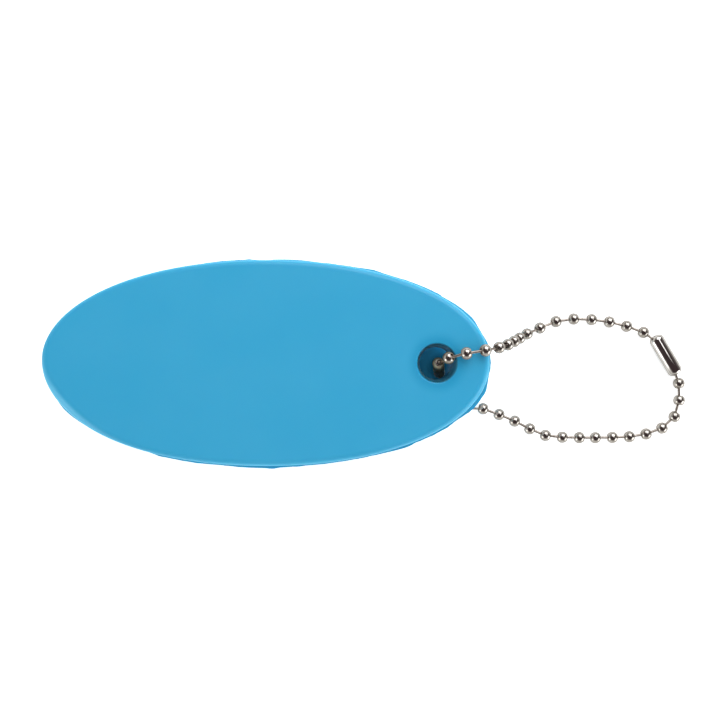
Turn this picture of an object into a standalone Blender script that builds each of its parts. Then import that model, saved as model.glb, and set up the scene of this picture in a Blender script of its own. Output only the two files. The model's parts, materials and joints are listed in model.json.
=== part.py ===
"""Floating keychain: an oval foam float on a closed loop of ball chain.

Metres, +Z up. The surface it lies on is Z = 0, the float's long axis runs along X,
and the origin is under the middle of the whole object.
"""

from math import asin, atan2, copysign, cos, degrees, pi, radians, sin

import bmesh
import bpy
from mathutils import Matrix, Vector

# Foam float
FLOAT_LENGTH = 0.0900
FLOAT_WIDTH = 0.0420
FLOAT_THICKNESS = 0.0145
OUTLINE_POWER = 2.08
FLASH_REACH = 0.00035
FLASH_TIP = 0.0001
FLASH_ROOT = 0.00022
FLASH_RIPPLE = 0.3
FLASH_WAVES = (11, 5)
FLASH_BULGES = ((-22, 16, 0.0004), (30, 10, 0.0003))
WALL_DRAFT = 0.00035
EDGE_RADIUS = 0.0011
SHARP_ANGLE = radians(35)
FLOAT_SEGMENTS = 72
EDGE_STEPS = 3

# Hole through the float
HOLE_INSET = 0.0111
HOLE_RADIUS = 0.0038
HOLE_WAIST = 0.0032
HOLE_RIM = 0.0003
HOLE_RIM_START = 110
HOLE_SEGMENTS = 32

# Ball chain
BEAD_RADIUS = 0.0012
BEAD_WALL = 0.00025
BEAD_HOLE = 0.00054
BEAD_FLARE = 0.00012
LINK_RADIUS = 0.00025
LINK_HEAD = 0.0006
LINK_ROOT = 0.6
FULL_PITCH = 0.0038
HEAD_BACK = 0.00036
SLACK = 0.95
CLOSED_UP = 0.90
CLOSED_LINK = 9
SLACK_LINKS = 20
BEAD_SEGMENTS = 10
BEAD_STEPS = 5
LINK_SEGMENTS = 8
HEAD_STEPS = 4
FIT_ROUNDS = 40

# Where the loop folds: the first bead past this place on each run, and how many folds follow each other
FOLD_START = 0.0250
FOLDS = 3
NECK_OUT = 0.00045

# Connector that closes the chain
CONNECTOR_LENGTH = 0.0092
CONNECTOR_WALL = 0.00027
CONNECTOR_PLAY = 0.0001
CONNECTOR_END_HOLE = 0.0005
CONNECTOR_CORNER = 0.0010
CONNECTOR_SLOT = 0.0011
CONNECTOR_MOUTH = 0.0013
CONNECTOR_MOUTH_TURN = radians(55)
CONNECTOR_CENTRE = (0.0491, 0.0016)
CONNECTOR_TURN = radians(-59.5)
CONNECTOR_ROLL = radians(20)
CONNECTOR_SEGMENTS = 24
CORNER_STEPS = 4

# Clearance between things that touch
SEAT_GAP = 0.00015

# How far a cutter runs past what it cuts
CUT_PAST = 0.002

# Everything below follows from the sizes above
HOLE_X = FLOAT_LENGTH / 2 - HOLE_INSET
TOP_INSET = FLASH_REACH + WALL_DRAFT + EDGE_RADIUS
CONNECTOR_RADIUS = BEAD_RADIUS + CONNECTOR_PLAY + CONNECTOR_WALL
LINK_REACH = FULL_PITCH - HEAD_BACK
WELD = 0.000001


def new_collection(name):
    collection = bpy.data.collections.new(name)
    bpy.context.scene.collection.children.link(collection)
    return collection


def new_material(name, colour, roughness, metallic):
    material = bpy.data.materials.new(name)
    material.use_nodes = True
    shader = material.node_tree.nodes["Principled BSDF"]
    shader.inputs["Base Color"].default_value = (*colour, 1.0)
    shader.inputs["Roughness"].default_value = roughness
    shader.inputs["Metallic"].default_value = metallic
    material.diffuse_color = (*colour, 1.0)
    return material


def new_object(name, mesh, collection, material=None):
    obj = bpy.data.objects.new(name, mesh)
    collection.objects.link(obj)
    if material and not mesh.materials:
        mesh.materials.append(material)
    if collection.name == "cutters":
        obj.hide_render = True
        obj.display_type = "WIRE"
    return obj


def profile_mesh(name, points, closed=False):
    """A turned shape's half section, as edges in the XZ plane at +X."""
    mesh = bpy.data.meshes.new(name)
    edges = [(i, i + 1) for i in range(len(points) - 1)]
    if closed:
        edges.append((len(points) - 1, 0))
    mesh.from_pydata([(r, 0.0, z) for r, z in points], edges, [])
    return mesh


def add_screw(obj, segments):
    screw = obj.modifiers.new("turned", "SCREW")
    screw.steps = segments
    screw.render_steps = segments
    screw.use_merge_vertices = True
    screw.merge_threshold = WELD
    screw.use_smooth_shade = True


def add_boolean(obj, other, operation):
    cut = obj.modifiers.new(other.name, "BOOLEAN")
    cut.operation = operation
    cut.object = other
    cut.solver = "EXACT"


def arc(centre_r, centre_z, radius, start, end, steps):
    """Points from the angle start to end, in degrees up from +X."""
    turns = [radians(start + (end - start) * i / steps) for i in range(steps + 1)]
    return [(centre_r + radius * cos(a), centre_z + radius * sin(a)) for a in turns]


# The float: half of it, from the parting plane up
def outline(turn, inset):
    """A point of the float's oval, drawn in by inset."""
    power = 2 / OUTLINE_POWER
    across, up = cos(turn), sin(turn)
    x = (FLOAT_LENGTH / 2 - inset) * copysign(abs(across) ** power, across)
    y = (FLOAT_WIDTH / 2 - inset) * copysign(abs(up) ** power, up)
    return x, y


def float_rings():
    """Each ring's inset and its height over the parting plane."""
    half = FLOAT_THICKNESS / 2
    wall = FLASH_REACH + WALL_DRAFT
    rings = [(0.0, 0.0), (0.0, FLASH_TIP), (FLASH_REACH, FLASH_ROOT)]
    for r, z in arc(wall + EDGE_RADIUS, half - EDGE_RADIUS, EDGE_RADIUS, 180, 90, EDGE_STEPS):
        rings.append((r, z))
    return rings


def flash_ripple(turn):
    """The parting line's uneven edge, none at the two ends of the oval."""
    quick, slow = FLASH_WAVES
    return FLASH_REACH * FLASH_RIPPLE * abs(sin(quick * turn) * sin(slow * turn))


def flash_bulge(turn):
    """How much further out the flash was left: each bulge has a middle and half a width, in degrees."""
    extra = 0.0
    for middle, half_width, reach in FLASH_BULGES:
        off = abs(degrees(turn) - middle)
        if off < half_width:
            extra += reach * (1 + cos(pi * off / half_width)) / 2
    return extra


def build_float_mesh():
    rings = float_rings()
    bm = bmesh.new()
    bmesh.ops.create_circle(bm, segments=FLOAT_SEGMENTS, radius=1.0)
    rim = bm.edges[:]
    for _ in rings[1:]:
        grown = bmesh.ops.extrude_edge_only(bm, edges=rim)["geom"]
        lifted = [g for g in grown if isinstance(g, bmesh.types.BMVert)]
        edges = [g for g in grown if isinstance(g, bmesh.types.BMEdge)]
        rim = [e for e in edges if all(v in lifted for v in e.verts)]
        bmesh.ops.translate(bm, verts=lifted, vec=(0, 0, 1))
    bmesh.ops.edgeloop_fill(bm, edges=rim)
    for vert in bm.verts:
        level = round(vert.co.z)
        inset, height = rings[level]
        turn = atan2(vert.co.y, vert.co.x)
        if level < 2:
            inset += flash_ripple(turn) - flash_bulge(turn)
        vert.co = (*outline(turn, inset), height)
    bmesh.ops.recalc_face_normals(bm, faces=bm.faces[:])
    mesh = bpy.data.meshes.new("float_half")
    bm.to_mesh(mesh)
    bm.free()
    mesh.shade_smooth()
    mesh.set_sharp_from_angle(angle=SHARP_ANGLE)
    return mesh


def hole_profile():
    """The hole's wall, narrowest at the parting plane, with its rims eased."""
    half = FLOAT_THICKNESS / 2
    past = half + CUT_PAST
    mouth = HOLE_RADIUS + HOLE_RIM
    rim = arc(mouth, half - HOLE_RIM, HOLE_RIM, HOLE_RIM_START, 180, EDGE_STEPS)
    top = [(0.0, past), (mouth, past), *rim]
    return [*top, (HOLE_WAIST, 0.0), *[(r, -z) for r, z in reversed(top)]]


def float_placing():
    """The float lies on the chain near its hole, and on the edge of its other end."""
    heel = FLOAT_LENGTH / 2 - TOP_INSET
    lift = 2 * BEAD_RADIUS + SEAT_GAP
    tilt = asin(lift / (heel + HOLE_X + HOLE_RADIUS))
    turn = Matrix.Rotation(-tilt, 4, "Y")
    half = FLOAT_THICKNESS / 2
    heel_centre = turn @ Vector((-heel, 0, EDGE_RADIUS - half))
    hole_top = turn @ Vector((HOLE_X, 0, half))
    return Matrix.Translation((-hole_top.x, 0, EDGE_RADIUS - heel_centre.z)) @ turn


def build_float(collection, cutters, material):
    body = new_object("float_body", build_float_mesh(), collection, material)
    mirror = body.modifiers.new("other half", "MIRROR")
    mirror.use_axis = (False, False, True)
    mirror.merge_threshold = WELD
    hole = new_object("float_hole", profile_mesh("hole", hole_profile()), cutters)
    add_screw(hole, HOLE_SEGMENTS)
    hole.parent = body
    hole.location = (HOLE_X, 0, 0)
    add_boolean(body, hole, "DIFFERENCE")
    body.matrix_basis = float_placing()
    return body


# The chain's route, in a frame that starts on the table, under the middle of the hole's upper rim
def on_table(x, y):
    return Vector((x, y, BEAD_RADIUS))


def at_hole(x, y, up):
    """A place measured from the hole's axis and up from the float's underside."""
    return float_placing() @ Vector((HOLE_X + x, y, up - FLOAT_THICKNESS / 2))


def past_edge(x, y, share):
    """A place beyond the float's end, at a share of the height from table to float top."""
    top = at_hole(0, 0, FLOAT_THICKNESS + BEAD_RADIUS + SEAT_GAP).z
    return Vector((HOLE_INSET + x, y, BEAD_RADIUS + share * (top - BEAD_RADIUS)))


def connector_frame():
    """The connector's own axis is Z, and its slot faces +X."""
    across = Matrix.Rotation(CONNECTOR_TURN, 4, "Z") @ Matrix.Rotation(pi / 2, 4, "Y")
    slot = Matrix.Rotation(CONNECTOR_ROLL - pi / 2, 4, "Z")
    return Matrix.Translation((*CONNECTOR_CENTRE, CONNECTOR_RADIUS)) @ across @ slot


def connector_seat(end):
    """The centre of the bead held at one end of the connector, end being 1 or -1."""
    room = CONNECTOR_WALL + CONNECTOR_PLAY + BEAD_RADIUS
    return connector_frame() @ Vector((0, 0, end * (CONNECTOR_LENGTH / 2 - room)))


def route_points():
    under = -(BEAD_RADIUS + SEAT_GAP)
    over = FLOAT_THICKNESS + BEAD_RADIUS + SEAT_GAP
    lower_run = [
        on_table(0.0520, -0.0044),
        on_table(0.0520, -0.0082),
        on_table(0.0510, -0.0114),
        on_table(0.0486, -0.0136),
        on_table(0.0452, -0.0149),
        on_table(0.0416, -0.0155),
        on_table(0.0344, -0.0157),
        on_table(0.0275, -0.0156),
        on_table(0.0239, -0.0152),
        on_table(0.0206, -0.0138),
        on_table(0.0175, -0.0122),
        on_table(0.0139, -0.0107),
        on_table(0.0103, -0.0095),
        on_table(0.0070, -0.0094),
        on_table(0.0039, -0.0081),
        on_table(0.0026, -0.0057),
    ]
    up_the_hole = [
        at_hole(0.0016, -0.0034, under),
        at_hole(0.0012, -0.0022, -0.0003),
        at_hole(0.0011, -0.0019, 0.0010),
        at_hole(0.0009, -0.0013, 0.0035),
        at_hole(0.0007, -0.0005, FLOAT_THICKNESS / 2),
        at_hole(0.0004, -0.0001, FLOAT_THICKNESS - 0.0032),
        at_hole(0.0021, 0.0009, FLOAT_THICKNESS - 0.0003),
    ]
    over_the_top = [
        at_hole(0.0032, 0.0013, over - SEAT_GAP),
        at_hole(0.0052, 0.0018, over),
        at_hole(0.0090, 0.0024, over),
    ]
    down_to_the_table = [
        past_edge(0.0010, 0.0030, 0.885),
        past_edge(0.0032, 0.0036, 0.71),
        past_edge(0.0049, 0.0043, 0.52),
        past_edge(0.0065, 0.0050, 0.33),
        past_edge(0.0084, 0.0059, 0.15),
        past_edge(0.0114, 0.0072, 0.03),
        past_edge(0.0148, 0.0086, 0.0),
    ]
    upper_run = [
        on_table(0.0297, 0.0092),
        on_table(0.0334, 0.0091),
        on_table(0.0373, 0.0086),
        on_table(0.0410, 0.0077),
        on_table(0.0444, 0.0065),
    ]
    points = lower_run + up_the_hole + over_the_top + down_to_the_table + upper_run
    return [connector_seat(1), *points, connector_seat(-1)]


def smooth_curve(points, steps=16):
    """Many points along a smooth curve through the given ones."""
    ends = [2 * points[0] - points[1], *points, 2 * points[-1] - points[-2]]
    curve = []
    for a, b, c, d in zip(ends, ends[1:], ends[2:], ends[3:]):
        for i in range(steps):
            t = i / steps
            bend = (2 * a - 5 * b + 4 * c - d) * t * t + (3 * b - a - 3 * c + d) * t**3
            curve.append(b + 0.5 * ((c - a) * t + bend))
    return [*curve, points[-1]]


def link_pitch(index):
    """The distance between two beads: the run on the table lies slack."""
    if index == CLOSED_LINK:
        return FULL_PITCH * CLOSED_UP
    return FULL_PITCH * SLACK if index < SLACK_LINKS else FULL_PITCH


def walk(curve, scale, most):
    """Bead centres along the curve, a straight link apart, and the place where they stop."""
    beads = [curve[0]]
    place = 0
    while len(beads) <= most:
        pitch = scale * link_pitch(len(beads))
        while place < len(curve) and (curve[place] - beads[-1]).length < pitch:
            place += 1
        if place == len(curve):
            return beads, place
        near = (curve[place - 1] - beads[-1]).length
        far = (curve[place] - beads[-1]).length
        share = (pitch - near) / (far - near)
        beads.append(curve[place - 1].lerp(curve[place], share))
    return beads, place


def bead_centres():
    """As many beads as the route needs, spread so that the last lies at its end."""
    curve = smooth_curve(route_points())
    count = len(walk(curve, 1.0, len(curve))[0])
    low, high = 0.5, 1.0
    for _ in range(FIT_ROUNDS):
        scale = (low + high) / 2
        beads, place = walk(curve, scale, count)
        if place == len(curve):
            high = scale
        else:
            low = scale
    return [*walk(curve, low, count)[0][:count], curve[-1]]


# A bead is a hollow shell with its hole at +Z. A link's shank leaves it, and its head is in the next bead
def bead_profile():
    inner = BEAD_RADIUS - BEAD_WALL
    mouth = BEAD_HOLE + BEAD_FLARE
    inner_top = degrees(atan2((inner**2 - BEAD_HOLE**2) ** 0.5, BEAD_HOLE))
    outer_top = degrees(atan2((BEAD_RADIUS**2 - mouth**2) ** 0.5, mouth))
    inside = arc(0, 0, inner, -90, inner_top, BEAD_STEPS - 1)
    outside = arc(0, 0, BEAD_RADIUS, outer_top, -90, BEAD_STEPS)
    return on_axis([*inside, *outside])


def link_profile():
    """The shank's root sits in its bead's wall, a share of the wall's thickness deep."""
    root = BEAD_RADIUS - LINK_ROOT * BEAD_WALL
    neck = -degrees(atan2((LINK_HEAD**2 - LINK_RADIUS**2) ** 0.5, LINK_RADIUS))
    head = arc(0, LINK_REACH, LINK_HEAD, 90, neck, HEAD_STEPS)
    return on_axis([*head, (LINK_RADIUS, root), (0.0, root)])


def on_axis(points):
    """The first and last points of a profile put exactly on the axis."""
    return [(0.0, points[0][1]), *points[1:-1], (0.0, points[-1][1])]


def aim(obj, place, direction):
    """Puts an object at a place with its +Z along a direction."""
    obj.location = place
    obj.rotation_mode = "QUATERNION"
    obj.rotation_quaternion = direction.to_track_quat("Z", "Y")


def build_chain(centres, collection, cutters, material):
    shell = profile_mesh("bead_section", bead_profile())
    shank = profile_mesh("link_section", link_profile())
    start = connector_frame().to_3x3() @ Vector((0, 0, 1))
    units = []
    for i, centre in enumerate(centres):
        arriving = centre - centres[i - 1] if i else start
        bead = new_object(f"bead_{i + 1:02d}", shell, collection, material)
        add_screw(bead, BEAD_SEGMENTS)
        aim(bead, centre, -arriving)
        units.append([bead])
        if i + 1 < len(centres):
            link = new_object(f"link_{i + 1:02d}", shank, cutters)
            add_screw(link, LINK_SEGMENTS)
            aim(link, centre, centres[i + 1] - centre)
            add_boolean(bead, link, "UNION")
            units[-1].append(link)
    return units


# The connector: a sleeve rolled from sheet, with a slot along its side and a mouth below that lets a bead in
def connector_profile():
    end = CONNECTOR_LENGTH / 2
    inner_corner = CONNECTOR_CORNER - CONNECTOR_WALL
    corner_r = CONNECTOR_RADIUS - CONNECTOR_CORNER
    corner_z = end - CONNECTOR_CORNER
    outer = [(CONNECTOR_END_HOLE, end)]
    outer += arc(corner_r, corner_z, CONNECTOR_CORNER, 90, 0, CORNER_STEPS)
    inner = [(CONNECTOR_END_HOLE, end - CONNECTOR_WALL)]
    inner += arc(corner_r, corner_z, inner_corner, 90, 0, CORNER_STEPS - 1)
    outside = [*outer, *[(r, -z) for r, z in reversed(outer)]]
    inside = [*inner, *[(r, -z) for r, z in reversed(inner)]]
    return [*outside, *reversed(inside)]


def box_mesh(name, low, high):
    bm = bmesh.new()
    bmesh.ops.create_cube(bm, size=1.0)
    size = Vector(high) - Vector(low)
    bmesh.ops.scale(bm, vec=size, verts=bm.verts)
    bmesh.ops.translate(bm, vec=(Vector(low) + Vector(high)) / 2, verts=bm.verts)
    mesh = bpy.data.meshes.new(name)
    bm.to_mesh(mesh)
    bm.free()
    return mesh


def mouth_mesh():
    depth = CONNECTOR_RADIUS + CUT_PAST
    bm = bmesh.new()
    bmesh.ops.create_cone(
        bm,
        cap_ends=True,
        segments=CONNECTOR_SEGMENTS,
        radius1=CONNECTOR_MOUTH,
        radius2=CONNECTOR_MOUTH,
        depth=depth,
        matrix=Matrix.Translation((depth / 2, 0, 0)) @ Matrix.Rotation(pi / 2, 4, "Y"),
    )
    mesh = bpy.data.meshes.new("mouth")
    bm.to_mesh(mesh)
    bm.free()
    return mesh


def build_connector(collection, cutters, material):
    section = profile_mesh("connector_section", connector_profile(), closed=True)
    sleeve = new_object("connector", section, collection, material)
    add_screw(sleeve, CONNECTOR_SEGMENTS)
    half_slot = CONNECTOR_SLOT / 2
    past = CONNECTOR_LENGTH / 2 + CUT_PAST
    side = CONNECTOR_RADIUS + CUT_PAST
    slot = new_object(
        "connector_slot", box_mesh("slot", (0, -half_slot, -past), (side, half_slot, past)), cutters
    )
    mouth = new_object("connector_mouth", mouth_mesh(), cutters)
    mouth.rotation_euler.z = CONNECTOR_MOUTH_TURN
    for cutter in (slot, mouth):
        cutter.parent = sleeve
        add_boolean(sleeve, cutter, "DIFFERENCE")
    sleeve.matrix_basis = connector_frame()
    return sleeve


# The loop folds about level lines, each through a link's neck on both of its runs
def neck(centres, index):
    """Where the link from the bead before enters this one."""
    inward = (centres[index - 1] - centres[index]).normalized()
    return centres[index] + NECK_OUT * inward


def first_folding_beads(centres):
    """On the upper run and on the lower run, the bead that holds the first fold's link."""
    top = max(range(len(centres)), key=lambda i: centres[i].z)
    upper = next(i for i in range(top, len(centres)) if centres[i].x > FOLD_START)
    lower = next(i for i in range(top) if centres[i].x < FOLD_START)
    return upper, lower


def fold_frame(above, below):
    """A frame with its Y axis along a fold line, which lifts the loop when it turns."""
    along = (below - above).normalized()
    up = Vector((0, 0, 1))
    across = along.cross(up).normalized()
    frame = Matrix((across, along, across.cross(along))).transposed().to_4x4()
    return Matrix.Translation((above + below) / 2) @ frame


def middle_shift(centres):
    """What puts the middle of the whole length at the origin."""
    float_left = float_placing() @ Vector((-FLOAT_LENGTH / 2, 0, 0))
    right = max(centre.x for centre in centres) + BEAD_RADIUS
    return Matrix.Translation((-(float_left.x + right) / 2, 0, 0))


def hang(pieces, empty, frame):
    for piece in pieces:
        piece.parent = empty
        piece.matrix_parent_inverse = frame.inverted()


def assemble(body, units, connector, centres, collection):
    """Hangs every piece on the empty of the length that it moves with."""
    upper, lower = first_folding_beads(centres)
    frame = Matrix()
    empty = bpy.data.objects.new("keychain", None)
    collection.objects.link(empty)
    empty.matrix_basis = middle_shift(centres)
    fixed = [piece for unit in units[lower:upper] for piece in unit]
    hang([body, *fixed], empty, frame)
    for fold in range(FOLDS):
        outer = empty
        outer_frame = frame
        frame = fold_frame(neck(centres, upper + fold), neck(centres, lower - fold))
        empty = bpy.data.objects.new(f"loop_{fold + 1}", None)
        collection.objects.link(empty)
        empty.parent = outer
        empty.matrix_parent_inverse = outer_frame.inverted()
        empty.matrix_basis = frame
        moving = [units[upper + fold], units[lower - fold - 1]]
        if fold == FOLDS - 1:
            moving = [*units[upper + fold :], *units[: lower - fold], [connector]]
        hang([piece for unit in moving for piece in unit], empty, frame)


def main():
    for obj in list(bpy.data.objects):
        bpy.data.objects.remove(obj)
    parts = new_collection("floating_keychain")
    cutters = new_collection("cutters")
    foam = new_material("blue_foam_skin", (0.05, 0.38, 0.65), 0.45, 0.0)
    chain_metal = new_material("nickel_chain", (0.72, 0.70, 0.66), 0.15, 1.0)
    sheet_metal = new_material("nickel_sheet", (0.74, 0.72, 0.69), 0.2, 1.0)
    centres = bead_centres()
    body = build_float(parts, cutters, foam)
    units = build_chain(centres, parts, cutters, chain_metal)
    connector = build_connector(parts, cutters, sheet_metal)
    assemble(body, units, connector, centres, parts)


main()
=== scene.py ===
import json
import math

import bmesh
import bpy
import numpy as np
from mathutils import Matrix, Vector, noise


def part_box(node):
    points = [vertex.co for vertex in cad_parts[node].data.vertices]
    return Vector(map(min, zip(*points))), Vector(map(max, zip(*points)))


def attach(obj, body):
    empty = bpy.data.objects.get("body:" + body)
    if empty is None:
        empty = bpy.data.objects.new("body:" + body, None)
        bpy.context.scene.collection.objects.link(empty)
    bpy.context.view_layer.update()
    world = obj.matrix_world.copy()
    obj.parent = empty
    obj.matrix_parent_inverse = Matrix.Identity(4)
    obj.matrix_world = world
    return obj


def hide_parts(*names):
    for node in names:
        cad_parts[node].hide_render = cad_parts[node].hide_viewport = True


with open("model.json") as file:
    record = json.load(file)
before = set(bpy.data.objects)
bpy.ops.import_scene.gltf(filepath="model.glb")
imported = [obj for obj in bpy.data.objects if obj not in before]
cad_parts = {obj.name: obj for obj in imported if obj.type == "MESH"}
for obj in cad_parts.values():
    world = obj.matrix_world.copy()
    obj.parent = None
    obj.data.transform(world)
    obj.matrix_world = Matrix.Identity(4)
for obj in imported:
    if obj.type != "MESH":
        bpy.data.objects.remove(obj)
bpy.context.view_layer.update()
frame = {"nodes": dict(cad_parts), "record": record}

print("frame loaded,", len(frame["nodes"]), "nodes")


# small helpers used by every piece; lengths are metres, and angles in the dictionaries are degrees

nearness = {
    "samePoint": 0.000001,
    "samePlane": 0.00001,
    "sameAxis": 0.00002,
    "sharpCorner": 50,
}


def pickOnly(obj):
    bpy.ops.object.select_all(action="DESELECT")
    obj.select_set(True)
    bpy.context.view_layer.objects.active = obj


def applyAll(obj):
    pickOnly(obj)
    for modifier in list(obj.modifiers):
        bpy.ops.object.modifier_apply(modifier=modifier.name)


def placeByMatrix(obj, matrix):
    # the place goes into the mesh, and the object stays at the origin
    pickOnly(obj)
    obj.matrix_world = matrix
    bpy.ops.object.transform_apply(location=True, rotation=True, scale=True)


def smoothBelow(angle):
    bpy.ops.object.shade_smooth_by_angle(angle=math.radians(angle))


def selectEdges(obj, test):
    bpy.ops.mesh.select_mode(type="EDGE")
    bpy.ops.mesh.select_all(action="DESELECT")
    bm = bmesh.from_edit_mesh(obj.data)
    for edge in bm.edges:
        edge.select_set(test(edge.verts[0].co, edge.verts[1].co))
    bmesh.update_edit_mesh(obj.data)


def selectFaces(obj, test):
    bpy.ops.mesh.select_mode(type="FACE")
    bpy.ops.mesh.select_all(action="DESELECT")
    bm = bmesh.from_edit_mesh(obj.data)
    for face in bm.faces:
        face.select_set(test(face.calc_center_median()))
    bmesh.update_edit_mesh(obj.data)


def raiseRim(obj, steps):
    # draws an open ring up and closes it; a step is how far up, and the growth along x and y
    pickOnly(obj)
    bpy.ops.object.mode_set(mode="EDIT")
    bpy.ops.mesh.select_mode(type="EDGE")
    bpy.ops.mesh.select_all(action="SELECT")
    for up, alongX, alongY in steps:
        bpy.ops.mesh.extrude_edges_move(TRANSFORM_OT_translate={"value": (0, 0, up)})
        bpy.ops.transform.resize(value=(alongX, alongY, 1), center_override=(0, 0, 0))
    bpy.ops.mesh.edge_face_add()
    bpy.ops.object.mode_set(mode="OBJECT")


def mirrorDown(obj):
    mirror = obj.modifiers.new("lower half", "MIRROR")
    mirror.use_axis = (False, False, True)
    mirror.merge_threshold = nearness["samePoint"]
    applyAll(obj)


def tidyNormals():
    bpy.ops.mesh.select_all(action="SELECT")
    bpy.ops.mesh.remove_doubles(threshold=nearness["samePoint"])
    bpy.ops.mesh.normals_make_consistent(inside=False)


def giveWall(obj, thickness):
    wall = obj.modifiers.new("wall", "SOLIDIFY")
    wall.thickness = thickness
    wall.offset = -1
    applyAll(obj)


def easeCorners(obj, width, steps):
    ease = obj.modifiers.new("eased corners", "BEVEL")
    ease.width = width
    ease.segments = steps
    ease.limit_method = "ANGLE"
    ease.angle_limit = math.radians(nearness["sharpCorner"])
    applyAll(obj)


def cutAway(obj, cutter, name):
    cut = obj.modifiers.new(name, "BOOLEAN")
    cut.operation = "DIFFERENCE"
    cut.object = cutter
    cut.solver = "EXACT"
    applyAll(obj)
    bpy.data.objects.remove(cutter)


def copyOf(pattern, name):
    # each copy has its own mesh
    piece = bpy.data.objects.new(name, pattern.data.copy())
    bpy.context.scene.collection.objects.link(piece)
    return piece


def dressIn(obj, material):
    obj.data.materials.clear()
    obj.data.materials.append(material)


def bodyOf(node):
    bodies = frame["record"]["behaviour"]["bodies"]
    return next(body for body, members in bodies.items() if node in members)


# materials

def vectorMath(tree, operation, vector, other=None):
    node = tree.nodes.new("ShaderNodeVectorMath")
    node.operation = operation
    tree.links.new(vector, node.inputs[0])
    if other:
        node.inputs[1].default_value = other
    return node.outputs["Vector" if operation == "MULTIPLY" else "Value"]


def scalarMath(tree, operation, *values):
    # a value is a number, or the socket of another node
    node = tree.nodes.new("ShaderNodeMath")
    node.operation = operation
    for socket, value in zip(node.inputs, values):
        if isinstance(value, (int, float)):
            socket.default_value = value
        else:
            tree.links.new(value, socket)
    return node.outputs["Value"]


def remap(tree, value, given, wanted=(0, 1)):
    # eases one range of values into another
    node = tree.nodes.new("ShaderNodeMapRange")
    node.interpolation_type = "SMOOTHSTEP"
    for socket, number in zip(("From Min", "From Max", "To Min", "To Max"), (*given, *wanted)):
        node.inputs[socket].default_value = number
    tree.links.new(value, node.inputs["Value"])
    return node.outputs["Result"]


def blendColours(tree, factor, colourA, colourB):
    # a colour is a tuple, or the socket of another node
    node = tree.nodes.new("ShaderNodeMix")
    node.data_type = "RGBA"
    tree.links.new(factor, node.inputs["Factor"])
    for socket, colour in ((node.inputs["A"], colourA), (node.inputs["B"], colourB)):
        if isinstance(colour, tuple):
            socket.default_value = (*colour, 1)
        else:
            tree.links.new(colour, socket)
    return node.outputs["Result"]


def markedBy(tree, name):
    # a value that the piece's own mesh carries
    node = tree.nodes.new("ShaderNodeAttribute")
    node.attribute_name = name
    return node.outputs["Fac"]


def isGlossyRay(tree):
    return tree.nodes.new("ShaderNodeLightPath").outputs["Is Glossy Ray"]


handlingMarks = {
    "clouds": [("Grain", 4), ("Broad", 3)],
    "scratchDetail": 2,
    "scratchTurns": [25, 112],
    "scratchStretch": (0.06, 1.6, 1.0),
    "scratchRange": (0.64, 0.72),
}


def handlingMarksGroup():
    # fine grain, broad unevenness and hairline scratches, shared by every finish
    group = bpy.data.node_groups.new("handlingMarks", "ShaderNodeTree")
    group.interface.new_socket(name="Vector", in_out="INPUT", socket_type="NodeSocketVector")
    for label in ("Grain Scale", "Broad Scale", "Scratch Scale"):
        group.interface.new_socket(name=label, in_out="INPUT", socket_type="NodeSocketFloat")
    for label in ("Grain", "Broad", "Scratches"):
        group.interface.new_socket(name=label, in_out="OUTPUT", socket_type="NodeSocketFloat")
    nodes, links = group.nodes, group.links
    given = nodes.new("NodeGroupInput")
    out = nodes.new("NodeGroupOutput")
    for label, detail in handlingMarks["clouds"]:
        cloud = nodes.new("ShaderNodeTexNoise")
        cloud.inputs["Detail"].default_value = detail
        links.new(given.outputs["Vector"], cloud.inputs["Vector"])
        links.new(given.outputs[label + " Scale"], cloud.inputs["Scale"])
        links.new(cloud.outputs["Fac"], out.inputs[label])
    # two sets of long thin noise, lying across each other
    sets = []
    for turn in handlingMarks["scratchTurns"]:
        lay = nodes.new("ShaderNodeMapping")
        lay.inputs["Rotation"].default_value = (0, 0, math.radians(turn))
        lay.inputs["Scale"].default_value = handlingMarks["scratchStretch"]
        streak = nodes.new("ShaderNodeTexNoise")
        streak.inputs["Detail"].default_value = handlingMarks["scratchDetail"]
        thin = nodes.new("ShaderNodeMapRange")
        thin.inputs["From Min"].default_value = handlingMarks["scratchRange"][0]
        thin.inputs["From Max"].default_value = handlingMarks["scratchRange"][1]
        links.new(given.outputs["Vector"], lay.inputs["Vector"])
        links.new(lay.outputs["Vector"], streak.inputs["Vector"])
        links.new(given.outputs["Scratch Scale"], streak.inputs["Scale"])
        links.new(streak.outputs["Fac"], thin.inputs["Value"])
        sets.append(thin.outputs["Result"])
    links.new(scalarMath(group, "MAXIMUM", *sets), out.inputs["Scratches"])
    return group


marksGroup = handlingMarksGroup()


def startMaterial(name, metallic):
    material = bpy.data.materials.new(name)
    material.use_nodes = True
    shader = material.node_tree.nodes["Principled BSDF"]
    shader.inputs["Metallic"].default_value = metallic
    return material, material.node_tree, shader


def addMarks(tree, vector, scales):
    marks = tree.nodes.new("ShaderNodeGroup")
    marks.node_tree = marksGroup
    tree.links.new(vector, marks.inputs["Vector"])
    for socket, scale in zip(("Grain Scale", "Broad Scale", "Scratch Scale"), scales):
        marks.inputs[socket].default_value = scale
    return marks


def finishSurface(tree, shader, marks, finish):
    # the roughness differs from patch to patch, and each bump lies on the one before it
    patches = remap(tree, marks.outputs["Broad"], finish["patches"], finish["roughness"])
    tree.links.new(patches, shader.inputs["Roughness"])
    normal = None
    for mark, strength, depth in finish["bumps"]:
        bump = tree.nodes.new("ShaderNodeBump")
        bump.inputs["Strength"].default_value = strength
        bump.inputs["Distance"].default_value = depth
        tree.links.new(marks.outputs[mark], bump.inputs["Height"])
        if normal:
            tree.links.new(normal, bump.inputs["Normal"])
        normal = bump.outputs["Normal"]
    tree.links.new(normal, shader.inputs["Normal"])


# the float: moulded foam with a smooth blue skin, a ragged flash at the parting line, and one hole

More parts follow.
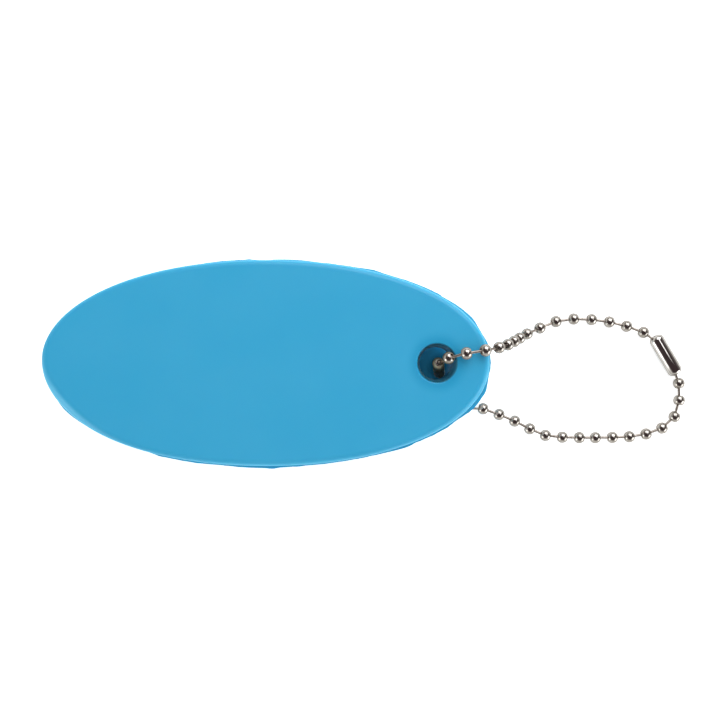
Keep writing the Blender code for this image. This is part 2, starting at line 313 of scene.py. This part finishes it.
floatSkin = {
    "length": 0.0900,
    "width": 0.0420,
    "thickness": 0.0145,
    "squareness": 2.08,
    "segments": 720,
    "flashReach": 0.00035,
    "flashTip": 0.0001,
    "flashRoot": 0.00022,
    "wallDraft": 0.00035,
    "edgeRadius": 0.0011,
    "edgeSteps": 8,
    "holdingRing": 0.0003,
    "smoothAngle": 32,
    # where the rounded edge is broader: middle and half width round the oval, and by what share
    "eased": [(-158, 34, 1.5), (-90, 50, 0.25), (-20, 45, 0.35)],
    # how strong the painted highlight band is at the foot of the rounded edge
    "highlightBandShare": 0.7,
    "holeFromEnd": 0.0111,
    "holeRadius": 0.0038,
    "holeWaist": 0.0032,
    "holeRim": 0.0003,
    "holeRimTurns": [25, 45, 65, 82],
    "holeOvershoot": (0.0002, 0.001),
    "holeSegments": 96,
}

floatFlash = {
    # slow waves, then nibs and notches where a second noise is strong; it varies per millimetre
    "wave": 0.00016,
    "waveScale": 0.16,
    "nick": 0.0003,
    "nickScale": 0.45,
    "nickShift": (7, 3, 1),
    "nibFrom": 0.20,
    "notchFrom": 0.32,
    "wider": 0.6,
    # the far end was trimmed smooth
    "smoothEndX": -0.030,
    "smoothShare": 0.25,
    # where one straight stroke of the knife ended and the next began, round the oval
    "strokes": [-112, -90, -70, -52, -38, -24, -14, 0, 11, 25, 43, 62, 80],
    "strokeDepth": 0.55,
    # where the flash was left wider: middle and half width round the oval, and how far
    "bulges": [
        (-22, 18, 0.0005), (30, 14, 0.0003), (-52, 20, 0.0002), (-100, 34, 0.0004),
        (95, 50, -0.0001), (-147, 24, 0.0002), (143, 30, -0.0002), (-157, 20, 0.0005),
        (151, 18, 0.00028),
    ],
    "deepest": 0.85,
}

floatFinish = {
    "skin": (0.035, 0.365, 0.613),
    "skinPale": (0.039, 0.384, 0.638),
    # a highlight painted at the foot of the rounded edge, and light painted on the flash in the
    # wall's shade
    "edge": (0.080, 0.570, 0.870),
    "flash": (0.034, 0.385, 0.600),
    # shade painted round the hole's mouth and, darker, on its rim; light painted on its wall
    "paintedShadeNearHole": (0.014, 0.310, 0.550),
    "holeRim": (0.016, 0.160, 0.265),
    "paintedLightInHole": (0.060, 0.420, 0.660),
    # painted reflections: the float's colours as only the polished beads see them
    "paintedReflection": (0.400, 0.400, 0.400),
    "holePaintedReflection": (0.620, 0.590, 0.440),
    # how far from the hole's axis each of its painted shade and light colours begins to fade, and
    # where it is gone
    "paintedShadeNearHoleReach": (0.0040, 0.0065),
    "holeRimReach": (0.00375, 0.00400),
    "paintedLightInHoleReach": (0.00335, 0.00365),
    # where the mesh's own marks, for the painted edge highlight and the flash's painted light,
    # begin to show, and where they show in full
    "edgeRange": (0.05, 0.60),
    "flashRange": (0, 0.30),
    "marks": (5200, 70, 420),
    "patches": (0.3, 0.7),
    "roughness": (0.28, 0.38),
    "bumps": [("Broad", 0.25, 0.0002), ("Grain", 0.10, 0.00002), ("Scratches", 0.06, 0.00001)],
    "gloss": 0.38,
    "translucence": 0.35,
    "throughReach": (0.0002, 0.0006, 0.0008),
}

halfX, halfY, halfZ = (floatSkin[side] / 2 for side in ("length", "width", "thickness"))
flashTipTop = floatSkin["flashTip"] * 1.01


def floatPlace():
    low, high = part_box("float_body")
    top = next(m for m in frame["record"]["mounts"] if m["name"] == "float_top")
    lean = math.asin(-top["axis"][0])
    return Matrix.Translation((low + high) / 2) @ Matrix.Rotation(-lean, 4, "Y")


def holeMiddleX():
    return (floatPlace() @ Vector((halfX - floatSkin["holeFromEnd"], 0, 0))).x


def turnAt(place):
    # the point's direction round the oval, in radians
    return math.atan2(place.y / halfY, place.x / halfX)


def squareUp(obj):
    # presses the plain ellipse a little squarer
    share = 2 / floatSkin["squareness"]
    for vert in obj.data.vertices:
        turn = turnAt(vert.co)
        across, up = math.cos(turn), math.sin(turn)
        vert.co.x = halfX * math.copysign(abs(across) ** share, across)
        vert.co.y = halfY * math.copysign(abs(up) ** share, up)


def swell(turn, places):
    # smooth swellings round the oval
    extra = 0
    for middle, halfWidth, amount in places:
        off = abs((math.degrees(turn) - middle + 180) % 360 - 180)
        if off < halfWidth:
            extra += amount * (1 + math.cos(math.pi * off / halfWidth)) / 2
    return extra


def easeEdge(obj):
    # broadens the rounded edge here and there, and marks the band at its foot where a highlight is
    # painted, and the flash, where light is painted
    wall = floatSkin["flashReach"] + floatSkin["wallDraft"]
    radius = floatSkin["edgeRadius"]
    edge = obj.data.attributes.new("edge", "FLOAT", "POINT")
    flash = obj.data.attributes.new("flash", "FLOAT", "POINT")
    for i, vert in enumerate(obj.data.vertices):
        drop = halfZ - vert.co.z
        if drop > radius + nearness["samePoint"]:
            flash.data[i].value = 1 if vert.co.z < flashTipTop else 0
            continue
        grow = swell(turnAt(vert.co), floatSkin["eased"])
        up = 1 - drop / radius
        inset = 1 - math.sqrt(max(0, 1 - up * up))
        edge.data[i].value = floatSkin["highlightBandShare"] * max(0, 1 - up) ** (1 / (1 + grow))
        shift = radius * grow * inset
        vert.co.x *= 1 - shift / (halfX - wall - radius * inset)
        vert.co.y *= 1 - shift / (halfY - wall - radius * inset)
        vert.co.z = halfZ - drop * (1 + grow)


def outlinePoint(degrees):
    # the oval's edge in that direction
    across, up = math.cos(math.radians(degrees)), math.sin(math.radians(degrees))
    power = floatSkin["squareness"]
    reach = (abs(across) ** power + abs(up) ** power) ** (-1 / power)
    return Vector((halfX * reach * across, halfY * reach * up, 0))


def knifeCut(place, turn, out):
    # how far a straight stroke of the knife lies inside the oval there
    corners = floatFlash["strokes"]
    for first, last in zip(corners, corners[1:]):
        if first <= math.degrees(turn) < last:
            a, b = outlinePoint(first), outlinePoint(last)
            square = Vector((b.y - a.y, a.x - b.x, 0)).normalized()
            return floatFlash["strokeDepth"] * (a - place).dot(square) / out.dot(square)
    return 0


def raggedFlash(obj):
    # the parting line was trimmed by hand, in straight strokes that left nibs and notches
    f = floatFlash
    for vert in obj.data.vertices:
        if abs(vert.co.z) > flashTipTop:
            continue
        turn = turnAt(vert.co)
        out = Vector((math.cos(turn) / halfX, math.sin(turn) / halfY, 0)).normalized()
        place = Vector((vert.co.x, vert.co.y, 0))
        millimetres = place * 1000
        nick = noise.noise(millimetres * f["nickScale"] + Vector(f["nickShift"]))
        move = f["wave"] * noise.noise(millimetres * f["waveScale"])
        move += f["nick"] * (max(0, nick - f["nibFrom"]) - max(0, -nick - f["notchFrom"]))
        if vert.co.x < f["smoothEndX"]:
            move *= f["smoothShare"]
        move += swell(turn, f["bulges"]) + f["wave"] * f["wider"]
        move += knifeCut(place, turn, out)
        vert.co += out * max(move, -floatSkin["flashReach"] * f["deepest"])


def modelBlank():
    s = floatSkin
    bpy.ops.mesh.primitive_circle_add(vertices=s["segments"], radius=1, fill_type="NOTHING")
    body = bpy.context.object
    body.name = "floatSkin"
    body.scale = (halfX, halfY, 1)
    bpy.ops.object.transform_apply(location=False, rotation=False, scale=True)
    squareUp(body)
    # inset and height of each ring, from the parting plane up and over the edge
    rings = [(0, 0), (0, s["flashTip"]), (s["flashReach"], s["flashRoot"])]
    for i in range(s["edgeSteps"] + 1):
        turn = math.radians(90) * i / s["edgeSteps"]
        inset = s["flashReach"] + s["wallDraft"] + s["edgeRadius"] * (1 - math.cos(turn))
        rings.append((inset, halfZ - s["edgeRadius"] * (1 - math.sin(turn))))
    rings.append((rings[-1][0] + s["holdingRing"], halfZ))
    raiseRim(body, [
        (z1 - z0, (halfX - in1) / (halfX - in0), (halfY - in1) / (halfY - in0))
        for (in0, z0), (in1, z1) in zip(rings, rings[1:])
    ])
    easeEdge(body)
    mirrorDown(body)
    raggedFlash(body)
    return body


def modelHole():
    # the hole narrows to its waist and has eased rims
    s = floatSkin
    bpy.ops.mesh.primitive_circle_add(
        vertices=s["holeSegments"], radius=s["holeWaist"], fill_type="NOTHING"
    )
    hole = bpy.context.object
    # radius and height of each ring
    rings = [(s["holeWaist"], 0), (s["holeRadius"], halfZ - s["holeRim"])]
    for turn in s["holeRimTurns"]:
        ease = math.radians(turn)
        radius = s["holeRadius"] + s["holeRim"] * (1 - math.cos(ease))
        rings.append((radius, halfZ - s["holeRim"] * (1 - math.sin(ease))))
    rings.append((rings[-1][0] + s["holeOvershoot"][0], halfZ + s["holeOvershoot"][1]))
    raiseRim(hole, [(z1 - z0, r1 / r0, r1 / r0) for (r0, z0), (r1, z1) in zip(rings, rings[1:])])
    mirrorDown(hole)
    return hole


def modelFloat():
    body, hole = modelBlank(), modelHole()
    for obj in (body, hole):
        pickOnly(obj)
        bpy.ops.object.mode_set(mode="EDIT")
        tidyNormals()
        bpy.ops.object.mode_set(mode="OBJECT")
    placeByMatrix(hole, Matrix.Translation((halfX - floatSkin["holeFromEnd"], 0, 0)))
    cutAway(body, hole, "hole")
    placeByMatrix(body, floatPlace())
    smoothBelow(floatSkin["smoothAngle"])
    return body


def floatMaterial():
    c = floatFinish
    material, tree, shader = startMaterial("blueFoamSkin", 0)
    place = tree.nodes.new("ShaderNodeTexCoord").outputs["Object"]
    marks = addMarks(tree, place, c["marks"])

    # how far a point is from the hole's axis, seen from above
    flat = vectorMath(tree, "MULTIPLY", place, (1, 1, 0))
    reach = vectorMath(tree, "DISTANCE", flat, (holeMiddleX(), 0, 0))
    paintedShadeNearHole, holeRim, paintedLightInHole = (
        remap(tree, reach, c[name + "Reach"], (1, 0)) for name in ("paintedShadeNearHole", "holeRim", "paintedLightInHole")
    )

    # a highlight is painted in a pale band at the foot of the rounded edge, and light on the flash
    # beyond it, which lies in the wall's shade
    skin = blendColours(tree, marks.outputs["Broad"], c["skin"], c["skinPale"])
    for mark in ("edge", "flash"):
        shown = remap(tree, markedBy(tree, mark), c[mark + "Range"])
        skin = blendColours(tree, shown, skin, c[mark])
    # shade painted round the hole's mouth and on its rim, and light painted on its wall
    skin = blendColours(tree, paintedShadeNearHole, skin, c["paintedShadeNearHole"])
    skin = blendColours(tree, holeRim, skin, c["holeRim"])
    skin = blendColours(tree, paintedLightInHole, skin, c["paintedLightInHole"])
    # the polished beads show hardly any blue: they see a painted reflection, the float grey and
    # yellowish in and round the hole
    mirrored = blendColours(tree, holeRim, c["paintedReflection"], c["holePaintedReflection"])
    skin = blendColours(tree, isGlossyRay(tree), skin, mirrored)
    tree.links.new(skin, shader.inputs["Base Color"])
    shader.inputs["Subsurface Weight"].default_value = c["translucence"]
    shader.inputs["Subsurface Radius"].default_value = c["throughReach"]
    shader.inputs["Subsurface Scale"].default_value = 1
    shader.inputs["Specular IOR Level"].default_value = c["gloss"]
    finishSurface(tree, shader, marks, c)
    return material


floatPiece = modelFloat()
dressIn(floatPiece, floatMaterial())
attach(floatPiece, "float_and_chain")
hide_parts("float_body")
print("float modelled,", len(floatPiece.data.polygons), "faces")


# the chain: hollow beads pressed from strip, held together by wire links with a head in each bead

chainBead = {
    "radius": 0.0012,
    "wall": 0.00025,
    "segments": 32,
    "rings": 27,
    "holeRings": 5,
    "lip": 0.00007,
    "lipSteps": 3,
    "smoothAngle": 45,
    # how close to the ball its points lie, at the first fit and at the second
    "fitWithin": [0.0001, 0.00001],
}

chainLink = {
    "wire": 0.00027,
    "headRadius": 0.0006,
    "headToHead": 0.00308,
    "segments": 14,
    "smoothAngle": 50,
    # the head as shares of its radius: where the neck starts, then each step along and its radius
    "neck": 0.75,
    "headSteps": [(0.2, 0.75), (0.4, 1.0), (0.35, 0.98), (0.3, 0.7)],
    # on the CAD's node: from the bead's centre to the head's tip, and the reach of the head
    "cadTip": 0.00404,
    "cadHead": 0.0012,
}

beadFinish = {
    "plate": (0.62, 0.59, 0.55),
    "dull": (0.47, 0.44, 0.40),
    "dullRange": (0.35, 0.7),
    "seam": (0.20, 0.17, 0.14),
    "seamAt": 0.25,
    "seamRange": (0.004, 0.011),
    "glance": (0.80, 0.78, 0.76),
    "marks": (9000, 900, 2600),
    "patches": (0.3, 0.75),
    "roughness": (0.13, 0.24),
    "bumps": [("Broad", 0.20, 0.00002), ("Scratches", 0.15, 0.000006)],
}

linkFinish = {
    "wire": (0.62, 0.56, 0.51),
    "dull": (0.42, 0.37, 0.33),
    "dullRange": (0.35, 0.65),
    "marks": (9000, 1500, 3500),
    "patches": (0.3, 0.7),
    "roughness": (0.25, 0.42),
    "bumps": [("Grain", 0.2, 0.00001)],
}


def fitCentre(points, rough):
    # the ball whose surface passes through the bead's outer points, the second time more closely
    radius = chainBead["radius"]
    for within in chainBead["fitWithin"]:
        shell = np.array([p for p in points if abs((p - rough).length - radius) < within])
        known = np.c_[2 * shell, np.ones(len(shell))]
        rough = Vector(np.linalg.lstsq(known, (shell ** 2).sum(1), rcond=None)[0][:3])
    return rough


def beadCentre(name, hasLink):
    points = [v.co.copy() for v in frame["nodes"][name].data.vertices]
    low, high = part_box(name)
    if not hasLink:
        return fitCentre(points, (low + high) / 2)
    middle = sum(points, Vector()) / len(points)
    tip = max(points, key=lambda p: (p - middle).length)
    head = [p for p in points if (p - tip).length < chainLink["cadHead"]]
    along = (tip - sum(head, Vector()) / len(head)).normalized()
    return fitCentre(points, tip - along * chainLink["cadTip"])


def aimMatrix(place, direction):
    return Matrix.Translation(place) @ direction.to_track_quat("Z", "Y").to_matrix().to_4x4()


def modelBead():
    b = chainBead
    bpy.ops.mesh.primitive_uv_sphere_add(
        segments=b["segments"], ring_count=b["rings"], radius=b["radius"]
    )
    bead = bpy.context.object
    # the two ends open where the links pass
    openAt = b["radius"] * math.cos(math.pi * b["holeRings"] / b["rings"])
    bpy.ops.object.mode_set(mode="EDIT")
    selectFaces(bead, lambda middle: abs(middle.z) > openAt)
    bpy.ops.mesh.delete(type="FACE")
    tidyNormals()
    bpy.ops.object.mode_set(mode="OBJECT")
    giveWall(bead, b["wall"])
    easeCorners(bead, b["lip"], b["lipSteps"])
    smoothBelow(b["smoothAngle"])
    return bead


def modelLink():
    k = chainLink
    bpy.ops.mesh.primitive_cylinder_add(
        vertices=k["segments"], radius=k["wire"], depth=k["headToHead"], end_fill_type="NGON"
    )
    link = bpy.context.object
    bpy.ops.object.mode_set(mode="EDIT")
    # each end swells into a head, upset from the wire
    for side in (1, -1):
        end = side * k["headToHead"] / 2
        selectFaces(link, lambda middle: abs(middle.z - end) < nearness["samePlane"])
        bpy.ops.transform.translate(value=(0, 0, -side * k["headRadius"] * k["neck"]))
        radius = k["wire"]
        for along, share in k["headSteps"]:
            bpy.ops.mesh.extrude_region_move(
                TRANSFORM_OT_translate={"value": (0, 0, side * along * k["headRadius"])}
            )
            grow = share * k["headRadius"] / radius
            bpy.ops.transform.resize(value=(grow, grow, 1), center_override=(0, 0, 0))
            radius = share * k["headRadius"]
    tidyNormals()
    bpy.ops.object.mode_set(mode="OBJECT")
    smoothBelow(k["smoothAngle"])
    return link


def beadMaterial():
    c = beadFinish
    material, tree, shader = startMaterial("nickelPlate", 1)
    coordinates = tree.nodes.new("ShaderNodeTexCoord")
    marks = addMarks(tree, coordinates.outputs["Object"], c["marks"])
    dull = remap(tree, marks.outputs["Broad"], c["dullRange"])
    plate = blendColours(tree, dull, c["plate"], c["dull"])
    # the strip's two edges meet in a fine seam, on one meridian of the bead
    split = tree.nodes.new("ShaderNodeSeparateXYZ")
    tree.links.new(coordinates.outputs["UV"], split.inputs["Vector"])
    off = scalarMath(tree, "SUBTRACT", split.outputs["X"], c["seamAt"])
    seam = remap(tree, scalarMath(tree, "ABSOLUTE", off), c["seamRange"], (1, 0))
    tree.links.new(blendColours(tree, seam, plate, c["seam"]), shader.inputs["Base Color"])
    shader.inputs["Specular Tint"].default_value = (*c["glance"], 1)
    finishSurface(tree, shader, marks, c)
    return material


def linkMaterial():
    c = linkFinish
    material, tree, shader = startMaterial("linkWire", 1)
    place = tree.nodes.new("ShaderNodeTexCoord").outputs["Object"]
    marks = addMarks(tree, place, c["marks"])
    dull = remap(tree, marks.outputs["Broad"], c["dullRange"])
    tree.links.new(blendColours(tree, dull, c["wire"], c["dull"]), shader.inputs["Base Color"])
    finishSurface(tree, shader, marks, c)
    return material


beadNames = sorted(name for name in frame["nodes"] if name.startswith("bead_"))
lastName = beadNames[-1]
beadPlaces = [beadCentre(name, name != lastName) for name in beadNames]
beadPattern = modelBead()
dressIn(beadPattern, beadMaterial())
linkPattern = modelLink()
dressIn(linkPattern, linkMaterial())

for i, name in enumerate(beadNames):
    # a bead's own axis halves the bend between its links, and the connector closes the loop
    here, following = beadPlaces[i], beadPlaces[(i + 1) % len(beadPlaces)]
    into = (here - beadPlaces[i - 1]).normalized()
    away = (following - here).normalized()
    bead = copyOf(beadPattern, "chainBead" + name[-2:])
    placeByMatrix(bead, aimMatrix(here, (into + away).normalized()))
    if name != lastName:
        link = copyOf(linkPattern, "chainLink" + name[-2:])
        placeByMatrix(link, aimMatrix((here + following) / 2, away))
        pickOnly(bead)
        link.select_set(True)
        bpy.ops.object.join()
    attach(bead, bodyOf(name))
    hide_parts(name)
for pattern in (beadPattern, linkPattern):
    bpy.data.objects.remove(pattern)
print("chain modelled,", len(beadNames), "beads")


# the connector: a sleeve rolled from sheet, closed round at its ends, with a slot and a mouth

sleeve = {
    "length": 0.0092,
    "radius": 0.00157,
    "wall": 0.00027,
    "corner": 0.0010,
    "cornerSteps": 9,
    "endHole": 0.0005,
    "slot": 0.0011,
    "slotOvershoot": 1.4,
    "mouth": 0.0013,
    "mouthSegments": 48,
    "mouthTurn": 55,
    "turn": -59.5,
    "roll": 20,
    "segments": 64,
    "rim": 0.00005,
    "rimSteps": 2,
    "smoothAngle": 40,
}

sleeveFinish = {
    "sheet": (0.76, 0.74, 0.71),
    "dull": (0.60, 0.58, 0.55),
    "dullRange": (0.35, 0.7),
    # drawing marks run along the sleeve
    "stretch": (0.08, 1, 1),
    "marks": (7000, 700, 3000),
    "patches": (0.3, 0.75),
    "roughness": (0.06, 0.16),
    "bumps": [("Grain", 0.15, 0.000008), ("Scratches", 0.10, 0.000006)],
}

sideways = Matrix.Rotation(math.pi / 2, 4, "Y")


def sleevePlace():
    across = Matrix.Rotation(math.radians(sleeve["turn"]), 4, "Z") @ sideways
    roll = Matrix.Rotation(math.radians(sleeve["roll"]) - math.pi / 2, 4, "Z")
    return Matrix.Translation((beadPlaces[0] + beadPlaces[-1]) / 2) @ across @ roll


def modelSleeve():
    s = sleeve
    bpy.ops.mesh.primitive_cylinder_add(
        vertices=s["segments"], radius=s["radius"], depth=s["length"], end_fill_type="NGON"
    )
    tube = bpy.context.object
    tube.name = "connectorSleeve"
    end = s["length"] / 2 - nearness["samePoint"]
    bpy.ops.object.mode_set(mode="EDIT")
    selectEdges(tube, lambda a, b: abs(a.z - b.z) < nearness["samePlane"])
    bpy.ops.mesh.bevel(offset=s["corner"], segments=s["cornerSteps"], profile=0.5)
    selectFaces(tube, lambda middle: abs(middle.z) > end)
    bpy.ops.mesh.inset(thickness=s["radius"] - s["corner"] - s["endHole"], use_individual=False)
    selectFaces(
        tube, lambda middle: abs(middle.z) > end and middle.xy.length < nearness["sameAxis"]
    )
    bpy.ops.mesh.delete(type="FACE")
    tidyNormals()
    bpy.ops.object.mode_set(mode="OBJECT")
    giveWall(tube, s["wall"])

    atSide = Matrix.Translation((s["radius"], 0, 0))
    bpy.ops.mesh.primitive_cube_add(size=1)
    slot = bpy.context.object
    slotSize = (2 * s["radius"], s["slot"], s["length"] * s["slotOvershoot"], 1)
    placeByMatrix(slot, atSide @ Matrix.Diagonal(slotSize))
    cutAway(tube, slot, "slot")
    bpy.ops.mesh.primitive_cylinder_add(
        vertices=s["mouthSegments"], radius=s["mouth"], depth=2 * s["radius"]
    )
    mouth = bpy.context.object
    below = Matrix.Rotation(math.radians(s["mouthTurn"]), 4, "Z")
    placeByMatrix(mouth, below @ atSide @ sideways)
    cutAway(tube, mouth, "mouth")
    easeCorners(tube, s["rim"], s["rimSteps"])
    placeByMatrix(tube, sleevePlace())
    smoothBelow(s["smoothAngle"])
    return tube


def sleeveMaterial():
    c = sleeveFinish
    material, tree, shader = startMaterial("nickelSheet", 1)
    lay = tree.nodes.new("ShaderNodeMapping")
    lay.inputs["Rotation"].default_value = (0, 0, math.radians(-sleeve["turn"]))
    lay.inputs["Scale"].default_value = c["stretch"]
    place = tree.nodes.new("ShaderNodeTexCoord").outputs["Object"]
    tree.links.new(place, lay.inputs["Vector"])
    marks = addMarks(tree, lay.outputs["Vector"], c["marks"])
    dull = remap(tree, marks.outputs["Broad"], c["dullRange"])
    tree.links.new(blendColours(tree, dull, c["sheet"], c["dull"]), shader.inputs["Base Color"])
    finishSurface(tree, shader, marks, c)
    return material


sleevePiece = modelSleeve()
dressIn(sleevePiece, sleeveMaterial())
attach(sleevePiece, bodyOf("connector"))
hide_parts("connector")
print("connector modelled,", len(sleevePiece.data.polygons), "faces")


# floor, lights and camera

table = {
    "size": 3.0,
    "colour": (0.90, 0.90, 0.90),
    "pale": (0.92, 0.92, 0.92),
    "marks": (900, 6, 40),
    "roughness": 0.8,
    "gloss": 0.1,
    "glow": 0.62,
    # painted reflection: the table's colour as only the polished beads see it
    "paintedReflection": (0.80, 0.79, 0.77),
    # the float's cover begins to fade at one share of its outline, and ends at the other
    "coveredRange": (0.80, 1.0),
    # under the float, and near a point beside the hole's axis, where hardly any light comes down:
    # painted shade, tinted blue by painted light bounced off the float
    "underFloat": (0.100, 0.700, 0.980),
    "underHole": (0.003, 0.200, 0.300),
    "underHoleShift": (0.0022, -0.0010),
    "underHoleReach": (0.0014, 0.0038),
}

tent = {
    "openLight": 0.67,
    "ceiling": (0.050, 0.034, 0.036),
    "horizon": (0.70, 0.68, 0.64),
    # the height where the walls pass into the ceiling, as a share of straight up
    "wallRange": (0.22, 0.72),
    "paleSide": 225,
    "paleRange": (-0.8, 0.5),
    "paleShare": (0.22, 1),
}

# azimuth and height in degrees, distance, size across and up, watts
lightBoxes = [
    ("boxTop", 70, 42, 0.40, 0.41, 0.335, 1.06),
    ("boxLeft", 214, 15, 0.55, 0.24, 0.29, 0.43),
    ("boxRight", 330, 15, 0.55, 0.36, 0.29, 0.72),
    ("boxEdge", 15, 62, 0.55, 0.08, 0.11, 0.053),
]

photoView = {
    "place": (-0.00226, 0.0006, 0.220),
    "lens": 52.1,
    "sensor": 36,
    "clipStart": 0.01,
}


def tableMaterial():
    # a softly lit white table, which the float darkens where it lies, with painted shade and
    # painted blue bounce light under it
    material, tree, shader = startMaterial("paleFloor", 0)
    place = tree.nodes.new("ShaderNodeTexCoord").outputs["Object"]
    marks = addMarks(tree, place, table["marks"])
    middle = floatPlace().translation
    across = tree.nodes.new("ShaderNodeMapping")
    across.vector_type = "TEXTURE"
    across.inputs["Location"].default_value = (middle.x, middle.y, 0)
    across.inputs["Scale"].default_value = (halfX, halfY, 1)
    tree.links.new(place, across.inputs["Vector"])
    away = vectorMath(tree, "LENGTH", across.outputs["Vector"])
    covered = remap(tree, away, table["coveredRange"], (1, 0))
    # what light comes down the hole dies away towards its middle
    shiftX, shiftY = table["underHoleShift"]
    darkest = (holeMiddleX() + shiftX, shiftY, 0)
    lit = remap(tree, vectorMath(tree, "DISTANCE", place, darkest), table["underHoleReach"])
    under = blendColours(tree, lit, table["underHole"], table["underFloat"])
    colour = blendColours(tree, marks.outputs["Broad"], table["colour"], table["pale"])
    colour = blendColours(tree, covered, colour, under)
    # the polished beads see the table in a painted reflection colour
    mirrored = isGlossyRay(tree)
    colour = blendColours(tree, mirrored, colour, table["paintedReflection"])
    tree.links.new(colour, shader.inputs["Base Color"])
    shader.inputs["Roughness"].default_value = table["roughness"]
    shader.inputs["Specular IOR Level"].default_value = table["gloss"]
    # it glows where it lies open, but not in the polished beads
    dimmed = scalarMath(tree, "MAXIMUM", covered, mirrored)
    glow = remap(tree, scalarMath(tree, "SUBTRACT", 1, dimmed), (0, 1), (0, table["glow"]))
    tree.links.new(glow, shader.inputs["Emission Strength"])
    shader.inputs["Emission Color"].default_value = (1, 1, 1, 1)
    return material


def layFloor():
    bpy.ops.mesh.primitive_plane_add(size=table["size"], location=(0, 0, 0))
    floor = bpy.context.object
    floor.name = "floor"
    dressIn(floor, tableMaterial())


def hangLights():
    for name, azimuth, height, distance, across, up, watts in lightBoxes:
        turn, rise = math.radians(azimuth), math.radians(height)
        level = math.cos(rise)
        away = Vector((math.cos(turn) * level, math.sin(turn) * level, math.sin(rise)))
        bpy.ops.object.light_add(type="AREA", location=away * distance)
        lamp = bpy.context.object
        lamp.name = name
        lamp.rotation_euler = away.to_track_quat("Z", "Y").to_euler()
        lamp.data.shape = "RECTANGLE"
        lamp.data.size = across
        lamp.data.size_y = up
        lamp.data.energy = watts


def setWorld():
    # an open white tent; polished surfaces see a dark ceiling, and walls paler on one side
    world = bpy.data.worlds.new("tent")
    bpy.context.scene.world = world
    world.use_nodes = True
    tree = world.node_tree
    bright = tree.nodes["Background"]
    bright.inputs["Color"].default_value = (1, 1, 1, 1)
    bright.inputs["Strength"].default_value = tent["openLight"]
    aim = tree.nodes.new("ShaderNodeTexCoord").outputs["Generated"]
    split = tree.nodes.new("ShaderNodeSeparateXYZ")
    tree.links.new(aim, split.inputs["Vector"])
    low = remap(tree, split.outputs["Z"], tent["wallRange"], (1, 0))
    turn = math.radians(tent["paleSide"])
    side = vectorMath(tree, "DOT_PRODUCT", aim, (math.cos(turn), math.sin(turn), 0))
    pale = remap(tree, side, tent["paleRange"], tent["paleShare"])
    walls = scalarMath(tree, "MULTIPLY", low, pale)
    dark = tree.nodes.new("ShaderNodeBackground")
    tree.links.new(
        blendColours(tree, walls, tent["ceiling"], tent["horizon"]), dark.inputs["Color"]
    )
    choose = tree.nodes.new("ShaderNodeMixShader")
    tree.links.new(isGlossyRay(tree), choose.inputs["Fac"])
    tree.links.new(bright.outputs["Background"], choose.inputs[1])
    tree.links.new(dark.outputs["Background"], choose.inputs[2])
    tree.links.new(choose.outputs["Shader"], tree.nodes["World Output"].inputs["Surface"])


def setCamera():
    # looks straight down
    bpy.ops.object.camera_add(location=photoView["place"], rotation=(0, 0, 0))
    camera = bpy.context.object
    camera.data.lens = photoView["lens"]
    camera.data.sensor_width = photoView["sensor"]
    camera.data.clip_start = photoView["clipStart"]
    bpy.context.scene.camera = camera


layFloor()
hangLights()
setWorld()
setCamera()
bpy.context.scene.view_settings.view_transform = "Standard"
print("studio set")
